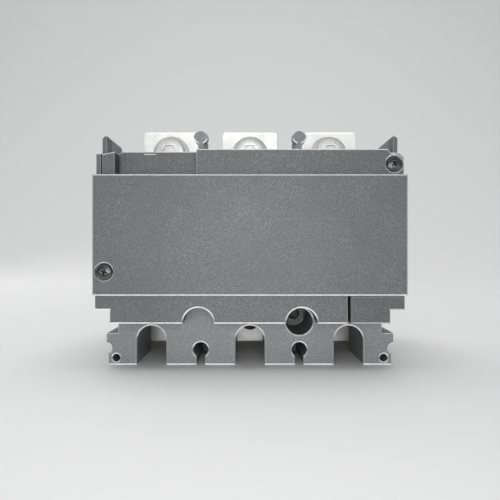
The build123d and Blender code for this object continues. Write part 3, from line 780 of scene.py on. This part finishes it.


# lighter copy of the grey plastic for the main housing and rear base: painted light, as the legs catch the
# light from below
LIT_BODY_GREY = Finish(
    "grey_plastic", Kind.MOULDED, (0.14, 0.142, 0.147), (0.245, 0.248, 0.255), 0.46,
    node="main_housing", edge=0.86, dust=0.12, painted_glint=0.5,
)
FINISHES = (
    Finish(
        "grey_plastic", Kind.MOULDED, (0.067, 0.0683, 0.0715), (0.142, 0.144, 0.149), 0.5,
        edge=0.62, dust=0.12,
    ),
    LIT_BODY_GREY,
    replace(LIT_BODY_GREY, node="rear_base"),
    # the front frame's copy has the strongest painted edge highlight
    Finish(
        "grey_plastic", Kind.MOULDED, (0.065, 0.0663, 0.0695), (0.138, 0.14, 0.145), 0.5,
        node="front_frame", edge=0.9, dust=0.1,
    ),
    Finish(
        "dark_grey_plastic", Kind.MOULDED, (0.056, 0.057, 0.0585), (0.122, 0.123, 0.125), 0.52,
        edge=0.45, dust=0.12,
    ),
    Finish("black_plastic", Kind.MOULDED, (0.018, 0.018, 0.019), (0.04, 0.04, 0.042), 0.46, edge=0.08),
    Finish(
        "black_steel", Kind.METAL, (0.034, 0.034, 0.035), (0.06, 0.059, 0.059), 0.26,
        edge=0.2, metallic=0.6, depth=0.00001, dust=0.05, recess_shade=1.0,
    ),
    Finish(
        "zinc_steel", Kind.METAL, (0.74, 0.74, 0.72), (0.56, 0.56, 0.54), 0.36,
        edge=0.2, metallic=0.8, depth=0.00001, dust=0.06,
    ),
    Finish(
        "tinned_copper", Kind.METAL, (0.86, 0.86, 0.835), (0.72, 0.72, 0.695), 0.42,
        edge=0.1, metallic=0.55, depth=0.00002, dust=0.05,
    ),
    Finish(
        "brass", Kind.METAL, (0.7, 0.52, 0.24), (0.6, 0.42, 0.18), 0.3,
        edge=0.15, metallic=1.0, depth=0.00001,
    ),
    Finish("sleeve_plastic", Kind.MOULDED, (0.62, 0.58, 0.44), (0.7, 0.67, 0.55), 0.35, depth=0.00001),
    Finish(
        "core_steel", Kind.WOUND, (0.3, 0.31, 0.33), (0.12, 0.12, 0.13), 0.4,
        metallic=0.8, turns=1500.0, depth=0.00004,
    ),
    Finish("bobbin_plastic", Kind.MOULDED, (0.7, 0.69, 0.62), (0.76, 0.75, 0.7), 0.45, depth=0.00001),
    Finish(
        "winding_tape", Kind.WOUND, (0.72, 0.42, 0.05), (0.5, 0.25, 0.03), 0.22,
        turns=160.0, coat=0.5, depth=0.00012,
    ),
    Finish("lead_insulation", Kind.MOULDED, (0.45, 0.03, 0.025), (0.5, 0.05, 0.04), 0.3, depth=0.00001),
)


# ---- sub-assemblies ----------------------------------------------------------------------------
@dataclass
class Piece:
    """How a finished piece joins the model.

    Attributes:
        made: the finished object.
        body: the body that it rides on.
        slot: its material slot.
        stands_for: the CAD nodes that it replaces.
    """

    made: bpy.types.Object
    body: str
    slot: str
    stands_for: list[str]

    def place(self, finishes: dict[str, bpy.types.Material]) -> None:
        """Give the piece its finish, its body and the CAD nodes that it stands for.

        Args:
            finishes: the built materials by slot.
        """
        self.made.data.materials.clear()
        self.made.data.materials.append(finishes[self.slot])
        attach(self.made, self.body)
        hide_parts(*self.stands_for)
        LOG.info("%s rides on %s", self.made.name, self.body)


@dataclass
class CrossScrews:
    """Pan-head screws with a cross recess and a threaded shank.

    Attributes:
        pitch: the thread's pitch.
        thread_depth: from the thread's crest to its root.
        plain: bare shank at each end of the thread.
        head_to_shank: the head's radius over the shank's.
        crown: height of the head.
        recess_length: length of a wing of the recess.
        recess_width: width of a wing.
        recess_middle: width of the recess's middle.
        recess_depth: depth of the recess.
        recess_taper: size of its bottom, as a share of its mouth.
        turns: where each recess stopped turning, in radians.
    """

    pitch: float = 0.7 * MM
    thread_depth: float = 0.22 * MM
    plain: float = 1.2 * MM
    head_to_shank: float = 1.8
    crown: float = 1.4 * MM
    recess_length: float = 3.1 * MM
    recess_width: float = 0.85 * MM
    recess_middle: float = 1.5 * MM
    recess_depth: float = 1.7 * MM
    recess_taper: float = 0.45
    turns: tuple[float, ...] = (0.2, 0.62, 0.95, 0.35)

    def build(self) -> list[Piece]:
        """Model the screws of the cover, the frame and the rear base.

        Returns:
            One piece for each of them.
        """
        return [
            self._group("cover_screw", "cover_screw", "black_steel", 1),
            self._group("frame_screws", "housing", "black_steel", 1),
            self._group("rear_screws", "housing", "zinc_steel", -1),
        ]

    def _group(self, node: str, body: str, slot: str, facing: int) -> Piece:
        """Model every screw of one CAD node as one piece.

        Args:
            node: the CAD node that they stand for.
            body: the body that they ride on.
            slot: their material slot.
            facing: 1 for heads at the front, -1 for heads at the back.

        Returns:
            The joined screws.
        """
        screws = []
        for number, (low, high) in enumerate(solids_of(node)):
            turn = self.turns[number % len(self.turns)]
            screws.append(self._screw(f"{node}_{number}", low, high, facing, turn))
        made = join(screws, f"{node}_detail")
        smooth(made, degrees=32.0)
        return Piece(made, body, slot, [node])

    def _screw(self, name: str, low: Vector, high: Vector, facing: int, turn: float) -> bpy.types.Object:
        """Model one screw inside its box.

        Args:
            name: its name.
            low: the box's lowest corner.
            high: the box's highest corner.
            facing: 1 where the head is at the front, -1 where it is at the back.
            turn: where its recess stopped turning, in radians.

        Returns:
            The screw.
        """
        head = (high.x - low.x) / 2
        shank = head / self.head_to_shank
        length = high.y - low.y
        crown = self.crown
        top = Vector(((low.x + high.x) / 2, low.y if facing > 0 else high.y, (low.z + high.z) / 2))
        arc = [step * math.pi / 12 for step in range(7)]
        dome = [(head * math.sin(angle) * 0.93, crown * 0.45 * (1 - math.cos(angle))) for angle in arc]
        rim = [(head, crown * 0.62), (head, crown * 0.9), (head * 0.97, crown), (shank, crown)]
        shaft = thread(shank, crown + self.plain, length - self.plain, self.pitch, self.thread_depth)
        point = [(shank * 0.55, length), (0.0, length)]
        screw = lathe(name, dome + rim + shaft + point, top, facing)
        wing = (self.recess_width, self.recess_depth, self.recess_length)
        middle = (self.recess_middle, self.recess_depth, self.recess_middle)
        for size, angle in ((wing, 0.0), (wing, math.pi / 2), (middle, math.pi / 4)):
            cut(screw, wedge(f"{name}_recess", top, facing, size, self.recess_taper, turn + angle))
        return screw


@dataclass
class TerminalHardware:
    """Bolt, washers and nuts of the three busbars.

    Attributes:
        pitch: the thread's pitch.
        thread_depth: from the thread's crest to its root.
        overhang: how far a bolt's head stands out past its shank.
        head_height: height of a bolt's head.
        socket_flats: width of its hexagon socket.
        socket_depth: depth of the socket.
        lip: width of the raised ring round the socket.
        dish: how deep the face lies inside the ring.
        knurls: ridges round the rim of its head.
        knurl_scale: radius of the grooves between them, as a share of the head's.
        bore: radius of the washers' and nuts' holes.
        flat_softness: rounding of the flat washer's rim.
        spring_softness: rounding of the spring washer's rim.
        slit: width of the spring washer's slit.
        slant: slant of the slit, in radians.
        bevel_share: how much of a nut's corner its chamfer takes.
        mouth: depth of the countersink at each end of a nut's hole.
    """

    pitch: float = 1.25 * MM
    thread_depth: float = 0.5 * MM
    overhang: float = 2.5 * MM
    head_height: float = 5.0 * MM
    socket_flats: float = 6.0 * MM
    socket_depth: float = 3.0 * MM
    lip: float = 0.35 * MM
    dish: float = 0.25 * MM
    knurls: int = 36
    knurl_scale: float = 0.972
    bore: float = 4.25 * MM
    flat_softness: float = 0.35 * MM
    spring_softness: float = 0.25 * MM
    slit: float = 0.96 * MM
    slant: float = 0.4
    bevel_share: float = 0.6
    mouth: float = 0.4 * MM

    def build(self) -> list[Piece]:
        """Model the hardware of every pole.

        Returns:
            The pieces, pole by pole.
        """
        pieces = []
        for pole in POLES:
            pieces += [
                self._bolt(pole),
                self._flat_washer(pole),
                self._spring_washer(pole),
                self._nut(f"tab_nut_{pole}"),
                self._nut(f"lower_nut_{pole}"),
            ]
        return pieces

    def _bolt(self, pole: str) -> Piece:
        """Model a low socket-head bolt with a knurled rim.

        Args:
            pole: left, centre or right.

        Returns:
            The bolt.
        """
        node = f"terminal_bolt_{pole}"
        top, head, length = round_size(node)
        shank = head - self.overhang
        tall = self.head_height
        inner = self.socket_flats * 0.62
        profile = [
            (0.0, self.dish),
            (inner, self.dish),
            (inner + self.lip / 2, 0.0),
            (head - 0.8 * MM, 0.0),
            (head - 0.25 * MM, 0.2 * MM),
            (head, 0.7 * MM),
            (head, tall - 0.4 * MM),
            (head - 0.4 * MM, tall),
            (shank, tall),
        ]
        profile += thread(shank, tall + 1.5 * MM, length - 0.8 * MM, self.pitch, self.thread_depth)
        profile += [(shank * 0.8, length), (0.0, length)]
        bolt = lathe(f"{node}_detail", profile, top, steps=2 * self.knurls)
        self._knurl(bolt, top, head)
        mouth = top - Vector((0, MM, 0))
        corner = self.socket_flats / math.sqrt(3)
        cut(bolt, prism(f"{node}_socket", 6, corner, mouth, self.socket_depth + MM))
        smooth(bolt, degrees=28.0)
        return Piece(bolt, f"bolt_{pole}", "zinc_steel", [node])

    def _knurl(self, bolt: bpy.types.Object, top: Vector, head: float) -> None:
        """Draw every other edge of the head's rim inwards.

        Args:
            bolt: the bolt, still without its socket.
            top: middle of the head's front face.
            head: the head's radius.
        """
        select_only(bolt)
        select_no_part()
        step = math.pi / self.knurls
        for vertex in bolt.data.vertices:
            place = vertex.co - top
            radius = math.hypot(place.x, place.z)
            number = round(math.atan2(place.z, place.x) / step)
            vertex.select = radius > head - 0.01 * MM and number % 2 == 0
        bpy.ops.object.mode_set(mode="EDIT")
        bpy.ops.transform.resize(value=(self.knurl_scale, 1.0, self.knurl_scale), center_override=top)
        bpy.ops.object.mode_set(mode="OBJECT")

    def _ring(self, node: str, soft: float) -> bpy.types.Object:
        """Spin a washer with softened rims inside its box.

        Args:
            node: the CAD node that it stands for.
            soft: size of the softening.

        Returns:
            The ring.
        """
        front, outer, thick = round_size(node)
        inner = self.bore
        profile = [
            (inner, soft / 2),
            (inner + soft / 2, 0.0),
            (outer - soft, 0.0),
            (outer - 0.3 * soft, 0.3 * soft),
            (outer, soft),
            (outer, thick - soft / 2),
            (outer - soft / 2, thick),
            (inner, thick),
        ]
        return lathe(f"{node}_detail", profile, front, steps=64)

    def _flat_washer(self, pole: str) -> Piece:
        """Model a stamped flat washer with one rounded rim.

        Args:
            pole: left, centre or right.

        Returns:
            The washer.
        """
        node = f"flat_washer_{pole}"
        ring = self._ring(node, self.flat_softness)
        smooth(ring, degrees=30.0)
        return Piece(ring, f"washers_{pole}", "zinc_steel", [node])

    def _spring_washer(self, pole: str) -> Piece:
        """Model a split spring washer whose slit stands at a slant.

        Args:
            pole: left, centre or right.

        Returns:
            The washer.
        """
        node = f"spring_washer_{pole}"
        ring = self._ring(node, self.spring_softness)
        low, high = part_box(node)
        axis = middle_of(node)
        bpy.ops.object.select_all(action="DESELECT")
        bpy.ops.mesh.primitive_cube_add(
            size=1.0,
            location=(axis.x, axis.y, (axis.z + low.z) / 2 - 0.8 * MM),
            rotation=(0, 0, self.slant),
            scale=(self.slit, 6 * MM, (high.z - low.z) / 2),
        )
        slit = bpy.context.active_object
        settle(slit)
        cut(ring, slit)
        smooth(ring, degrees=30.0)
        return Piece(ring, f"washers_{pole}", "zinc_steel", [node])

    def _nut(self, node: str) -> Piece:
        """Model a hexagon nut with chamfered corners and a threaded bore.

        Args:
            node: the CAD node that it stands for.

        Returns:
            The nut.
        """
        start, corner, thick = round_size(node)
        flat = corner * math.cos(math.pi / 6)
        nut = prism(f"{node}_detail", 6, corner, start, thick)
        drop = (corner - flat) * self.bevel_share
        face = flat * 0.985
        past = corner * 1.01
        barrel = [(0.0, 0.0), (face, 0.0), (past, drop), (past, thick - drop), (face, thick), (0.0, thick)]
        cut(nut, lathe(f"{node}_barrel", barrel, start, steps=96), "INTERSECT")
        wide = self.bore + self.mouth + MM
        hole = [(0.0, -MM), (wide, -MM), (self.bore, self.mouth)]
        hole += thread(self.bore, 0.9 * MM, thick - 0.9 * MM, self.pitch, self.thread_depth)[1:-1]
        hole += [(self.bore, thick - self.mouth), (wide, thick + MM), (0.0, thick + MM)]
        cut(nut, lathe(f"{node}_hole", hole, start))
        smooth(nut, degrees=30.0)
        return Piece(nut, "housing", "zinc_steel", [node])


@dataclass
class WiringTerminals:
    """Clamp screws of the secondary terminals.

    Attributes:
        slot_width: width of the slot and the cross.
        slot_depth: their depth.
        cross_length: length of the short cross.
        cross_taper: size of the cross's bottom, as a share of its mouth.
        head_height: height of the head.
        shank: radius of the shank.
        pitch: the thread's pitch.
        thread_depth: from the thread's crest to its root.
        plain: bare shank at each end of the thread.
        turn_step: how much further each slot is turned than the last, in radians.
    """

    slot_width: float = 0.75 * MM
    slot_depth: float = 0.8 * MM
    cross_length: float = 3.0 * MM
    cross_taper: float = 0.8
    head_height: float = 1.6 * MM
    shank: float = 1.4 * MM
    pitch: float = 0.6 * MM
    thread_depth: float = 0.2 * MM
    plain: float = 0.5 * MM
    turn_step: float = 0.5

    def build(self) -> list[Piece]:
        """Model the six screws.

        Returns:
            The screws, as one piece.
        """
        screws = []
        for number, (low, high) in enumerate(solids_of("terminal_screws")):
            screws.append(self._screw(f"way_screw_{number}", low, high, self.turn_step * number))
        made = join(screws, "terminal_screws_detail")
        smooth(made, degrees=32.0)
        return [Piece(made, "housing", "zinc_steel", ["terminal_screws"])]

    def _screw(self, name: str, low: Vector, high: Vector, turn: float) -> bpy.types.Object:
        """Model one clamp screw with a slot and a short cross.

        Args:
            name: its name.
            low: its box's lowest corner.
            high: its box's highest corner.
            turn: where its slot stopped turning, in radians.

        Returns:
            The screw.
        """
        head = (high.x - low.x) / 2
        length = high.y - low.y
        tall = self.head_height
        top = Vector(((low.x + high.x) / 2, low.y, (low.z + high.z) / 2))
        profile = [(0.0, 0.0), (head * 0.8, 0.0), (head * 0.95, 0.12 * MM), (head, 0.4 * MM)]
        profile += [(head, tall), (self.shank, tall)]
        profile += thread(self.shank, tall + self.plain, length - self.plain, self.pitch, self.thread_depth)
        screw = lathe(name, profile + [(self.shank * 0.7, length), (0.0, length)], top, steps=32)
        slot = (self.slot_width, self.slot_depth, 2.2 * head)
        cut(screw, wedge(f"{name}_slot", top, 1, slot, 1.0, turn))
        cross = (self.slot_width, self.slot_depth, self.cross_length)
        cut(screw, wedge(f"{name}_cross", top, 1, cross, self.cross_taper, turn + math.pi / 2))
        return screw


@dataclass(frozen=True)
class Lamp:
    """A soft lamp that looks at the object and isn't itself seen.

    Attributes:
        name: the lamp's name.
        place: where it hangs.
        size: its width and height.
        power: its power in watts.
        spread: full angle of its beam, in radians.
    """

    name: str
    place: tuple[float, float, float]
    size: tuple[float, float]
    power: float
    spread: float = math.pi

    def build(self, aim: Vector) -> None:
        """Add the lamp.

        Args:
            aim: the place that it looks at.
        """
        data = bpy.data.lights.new(self.name, "AREA")
        data.shape = "RECTANGLE"
        data.size, data.size_y = self.size
        data.energy = self.power
        data.spread = self.spread
        lamp = bpy.data.objects.new(self.name, data)
        lamp.visible_camera = False
        lamp.location = self.place
        lamp.rotation_euler = (aim - Vector(self.place)).to_track_quat("-Z", "Y").to_euler()
        bpy.context.scene.collection.objects.link(lamp)


@dataclass
class Studio:
    """Floor, light and camera.

    Attributes:
        camera_height: the camera's height above the floor.
        camera_distance: its distance in front of the object.
        lens: its focal length in millimetres.
        shift: how far the picture is shifted up.
        nearest: what lies nearer to the camera than this isn't drawn.
        floor_half: half the floor's width.
        floor_back: where the floor starts to curve up.
        cove_radius: radius of that curve.
        cove_steps: faces along the curve.
        wall_height: height of the wall above it.
        floor_colour: colour of floor and wall, linear.
        floor_roughness: their roughness.
        sky_colour: colour of the light from all round, linear.
        sky_strength: its strength.
        lamps: the lamps.
    """

    camera_height: float = 39.3 * MM
    camera_distance: float = 186.0 * MM
    lens: float = 40.3
    shift: float = 0.008
    nearest: float = 0.01
    floor_half: float = 2.0
    floor_back: float = 0.6
    cove_radius: float = 1.0
    cove_steps: int = 24
    wall_height: float = 1.5
    floor_colour: Colour = (0.76, 0.76, 0.75)
    floor_roughness: float = 0.7
    sky_colour: Colour = (0.82, 0.84, 0.87)
    sky_strength: float = 0.38
    lamps: tuple[Lamp, ...] = (
        Lamp("overhead", (0.0, 0.25, 2.6), (2.4, 2.4), 42.0),
        Lamp("softbox", (-0.1, -0.75, 0.2), (0.7, 0.7), 0.62),
        Lamp("front", (0.0, -0.25, 0.055), (0.1, 0.1), 0.042, math.radians(75)),
        Lamp("low", (0.0, -0.45, 0.012), (0.9, 0.02), 0.75),
        Lamp("back", (-0.5, 0.5, 0.45), (0.5, 0.5), 0.9),
    )

    def build(self) -> None:
        """Add the floor, the light from all round, the lamps and the camera."""
        self._floor()
        self._sky()
        for lamp in self.lamps:
            lamp.build(Vector((0.0, 0.0, self.camera_height)))
        self._camera()

    def _floor(self) -> None:
        """Add the pale floor, which curves up into a wall far behind the object."""
        bpy.ops.object.select_all(action="DESELECT")
        bpy.ops.mesh.primitive_grid_add(
            x_subdivisions=2,
            y_subdivisions=2,
            size=2 * self.floor_half,
            location=(0, self.floor_back - self.floor_half, 0),
        )
        floor = bpy.context.active_object
        floor.name = "floor"
        settle(floor)
        select_no_part()
        for edge in floor.data.edges:
            ends = [floor.data.vertices[index].co.y for index in edge.vertices]
            edge.select = min(ends) > self.floor_back - MM
        bpy.ops.object.mode_set(mode="EDIT")
        bpy.ops.mesh.spin(
            steps=self.cove_steps,
            angle=-math.pi / 2,
            center=(0, self.floor_back, self.cove_radius),
            axis=(1, 0, 0),
        )
        bpy.ops.mesh.extrude_region_move(TRANSFORM_OT_translate={"value": (0, 0, self.wall_height)})
        bpy.ops.object.mode_set(mode="OBJECT")
        smooth(floor, degrees=60.0)
        material = bpy.data.materials.new("pale_floor")
        material.use_nodes = True
        shader = material.node_tree.nodes["Principled BSDF"]
        shader.inputs["Base Color"].default_value = paint(self.floor_colour)
        shader.inputs["Roughness"].default_value = self.floor_roughness
        floor.data.materials.append(material)

    def _sky(self) -> None:
        """Light the scene softly from all round."""
        world = bpy.data.worlds.new("studio")
        world.use_nodes = True
        background = world.node_tree.nodes["Background"]
        background.inputs["Color"].default_value = paint(self.sky_colour)
        background.inputs["Strength"].default_value = self.sky_strength
        bpy.context.scene.world = world

    def _camera(self) -> None:
        """Add the level camera in front of the cover."""
        data = bpy.data.cameras.new("camera")
        data.lens = self.lens
        data.shift_y = self.shift
        data.clip_start = self.nearest
        camera = bpy.data.objects.new("camera", data)
        camera.location = (0.0, CAD_BOX[0][1] - self.camera_distance, self.camera_height)
        camera.rotation_euler = (math.pi / 2, 0.0, 0.0)
        bpy.context.scene.collection.objects.link(camera)
        bpy.context.scene.camera = camera


def dress_cad_nodes(finishes: dict[str, bpy.types.Material]) -> None:
    """Give every CAD node its own finish, or the usual one of its slot.

    Args:
        finishes: the built materials by node or slot.
    """
    for row in frame["record"]["subparts"]:
        node = frame["nodes"][row["node"]]
        node.data.materials.clear()
        node.data.materials.append(finishes.get(row["node"], finishes[row["material_slot"]]))


def main() -> None:
    """Build the finishes, the pieces and the studio, in that order."""
    logging.basicConfig(level=logging.INFO, format="%(name)s: %(message)s")
    bpy.context.scene.view_settings.view_transform = "Standard"
    for build_effect in (
        build_spark_grain,
        build_painted_edge_highlight,
        build_painted_recess_shade,
        build_settled_dust,
        build_plating_cloud,
        build_wound_turns,
    ):
        build_effect()
    finishes = {finish.node or finish.slot: finish.build() for finish in FINISHES}
    dress_cad_nodes(finishes)
    for assembly in (CrossScrews(), TerminalHardware(), WiringTerminals()):
        for piece in assembly.build():
            piece.place(finishes)
    Studio().build()


if __name__ == "__main__":
    main()
